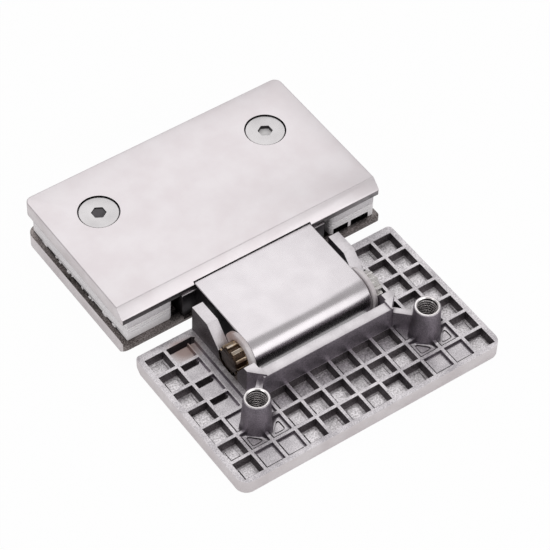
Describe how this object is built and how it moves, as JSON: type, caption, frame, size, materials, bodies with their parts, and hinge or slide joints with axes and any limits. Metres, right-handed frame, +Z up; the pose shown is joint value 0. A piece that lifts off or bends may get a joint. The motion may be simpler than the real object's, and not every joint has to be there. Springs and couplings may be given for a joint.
{
  "type": "glass door hinge",
  "caption": "Glass door hinge laid flat: one leaf clamped on its gaskets, the other open to its waffle casting, joined by a splined spindle in a sprung hinge block.",
  "frame": {"origin": "middle of the part's footprint, on the plane of the leaves' outer faces", "axes": "+X along the spindle, +Y from the open leaf towards the clamp leaf, +Z up from the outer faces"},
  "size_m": [0.09, 0.1126, 0.018],
  "materials": {
    "zinc_cast": "rough die casting",
    "satin_plate": "satin plated casting",
    "satin_block": "satin plated casting",
    "gasket_fibre": "matte",
    "bush_plastic": "smooth",
    "washer_plastic": "smooth, slightly greasy",
    "spindle_steel": "turned, greased",
    "screw_steel": "satin plated",
    "spring_steel": "drawn wire"
  },
  "bodies": {
    "clamp_leaf": {"clamp_back_casting": "satin_plate", "clamp_cover": "satin_plate", "gasket_back_thick": "gasket_fibre", "gasket_back_thin": "gasket_fibre", "gasket_front_thin": "gasket_fibre", "gasket_front_thick": "gasket_fibre", "hinge_block": "satin_block", "spindle_bush_left": "bush_plastic", "spindle_bush_right": "bush_plastic", "spring_plugs": "screw_steel", "clamp_screws": "screw_steel", "block_screws": "screw_steel", "detent_spring_left": "spring_steel", "detent_spring_right": "spring_steel"},
    "open_leaf": {"open_leaf_casting": "zinc_cast", "spindle": "spindle_steel", "washer_left": "washer_plastic", "washer_right": "washer_plastic"},
    "follower": {"cam_follower": "spindle_steel"}
  },
  "joints": [
    {"name": "leaf_swing", "type": "hinge", "parent": "clamp_leaf", "child": "open_leaf", "pos_m": [0, -0.0206, 0.009], "axis": [1, 0, 0], "range_deg": [-90, 90]},
    {"name": "follower_slide", "type": "slide", "parent": "clamp_leaf", "child": "follower", "axis": [0, -1, 0], "range_m": [0, 0.0005], "deforming": ["detent_spring_left", "detent_spring_right"]}
  ]
}
